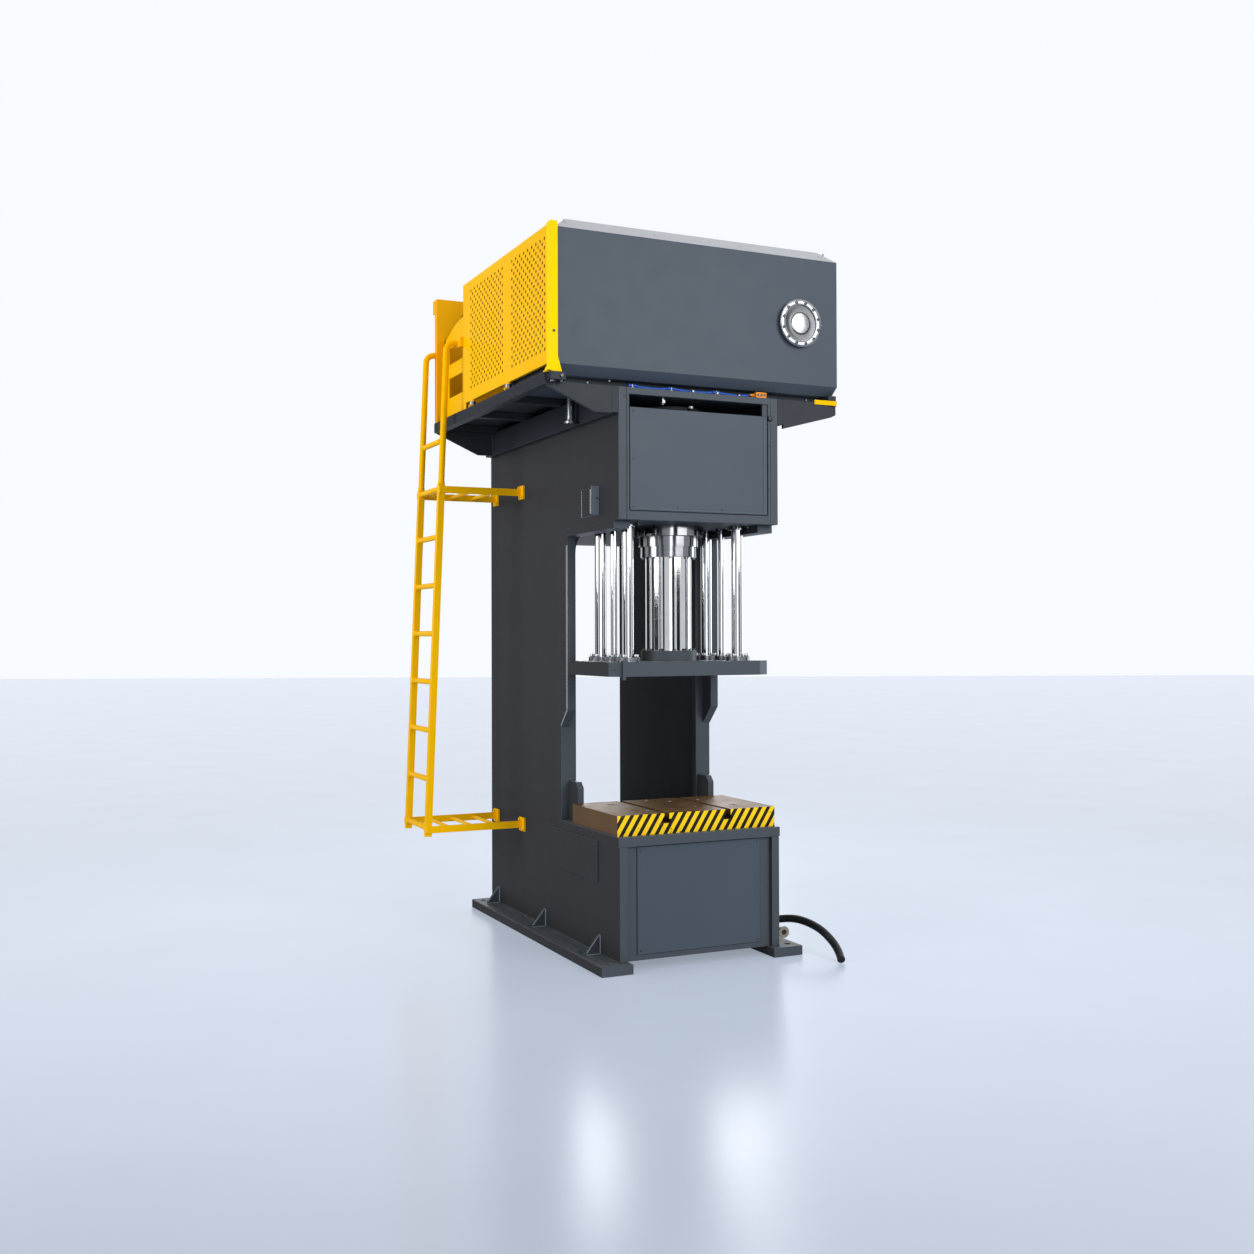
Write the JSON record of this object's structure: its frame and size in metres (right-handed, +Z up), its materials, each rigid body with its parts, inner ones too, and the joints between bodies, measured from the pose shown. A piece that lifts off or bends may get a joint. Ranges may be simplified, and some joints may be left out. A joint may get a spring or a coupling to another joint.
{
  "type": "hydraulic press",
  "caption": "Free-standing hydraulic press with side-plate frame, ram and platen on guide rods, T-slot bolster, roof oil tank, yellow guards and ladder.",
  "frame": {"origin": "on the floor at the centre of the outer anchor holes, midway between the side plates", "axes": "+Z up along the ram's axis; front with the working space towards -Y; +X to the operator's right, away from the ladder"},
  "size_m": [1.893, 2.2664, 3.775],
  "materials": {
    "frame_paint": "satin anthracite enamel",
    "cover_paint": "satin anthracite enamel, a little lighter",
    "deck_paint": "dark anthracite enamel",
    "oiled_steel": "oiled, brown tinted machined steel",
    "bright_steel": "bright zinc-plated steel",
    "turned_steel": "turned and polished steel",
    "chrome": "hard chrome, ground and polished",
    "lid_steel": "light grey enamel",
    "stainless": "turned stainless steel",
    "yellow_paint": "gloss yellow powder coat",
    "motor_paint": "grey enamel",
    "pump_iron": "cast iron",
    "pipe_steel": "drawn steel tube",
    "blue_plastic": "blue polyurethane air hose",
    "orange_plastic": "orange moulded clamp",
    "black_rubber": "black rubber hose",
    "grey_fitting": "cast fitting"
  },
  "bodies": {
    "frame": {"left_side_plate": "frame_paint", "right_side_plate": "frame_paint", "left_foot_plate": "frame_paint", "right_foot_plate": "frame_paint", "foot_gussets": "frame_paint", "throat_flanges": "frame_paint", "guide_rails": "frame_paint", "frame_webs": "frame_paint", "bed_top_plate": "frame_paint", "bed_cheek_plates": "frame_paint", "base_front_frame": "frame_paint", "base_cover_panel": "cover_paint", "throat_brackets": "frame_paint", "bolster_plate": "oiled_steel", "bolster_bolts": "bright_steel", "head_bottom_plate": "frame_paint", "head_front_frame": "frame_paint", "head_cover_panel": "cover_paint", "side_beams": "frame_paint", "main_cylinder": "frame_paint", "cylinder_ring_nut": "turned_steel", "gland_ring": "turned_steel", "wiper_ring": "turned_steel", "guide_bushes": "turned_steel", "deck_frame": "deck_paint", "deck_brackets": "frame_paint", "deck_plate": "deck_paint", "oil_tank": "cover_paint", "tank_lid": "lid_steel", "manhole_flange": "stainless", "manhole_cover": "stainless", "manhole_bolts": "stainless", "left_guard": "yellow_paint", "guard_corner_post": "yellow_paint", "guard_sockets": "yellow_paint", "rear_guard": "yellow_paint", "right_guard": "yellow_paint", "gate_hinge_pins": "yellow_paint", "ladder_rails": "yellow_paint", "ladder_rungs": "yellow_paint", "ladder_brackets": "yellow_paint", "pump_motor": "motor_paint", "pump_unit": "pump_iron", "valve_block": "bright_steel", "hydraulic_pipes": "pipe_steel", "air_lines": "blue_plastic", "clamp_strip": "orange_plastic", "side_bracket": "frame_paint", "frame_screws": "bright_steel", "conduit_hose": "black_rubber", "hose_gland": "black_rubber", "drain_elbow": "grey_fitting"},
    "slide": {"ram": "chrome", "ram_flange": "frame_paint", "platen": "frame_paint", "guide_rods": "chrome", "rod_flanges": "bright_steel", "slide_bolts": "bright_steel", "guide_shoes": "frame_paint"},
    "gate": {"ladder_gate": "yellow_paint"}
  },
  "joints": [
    {"name": "press_stroke", "type": "slide", "parent": "frame", "child": "slide", "axis": [0, 0, 1], "range_m": [-0.2, 0.25]},
    {"name": "gate_hinge", "type": "hinge", "parent": "frame", "child": "gate", "pos_m": [-0.8125, 0.79, 3.1], "axis": [0, 0, 1], "range_deg": [0, 90]}
  ]
}
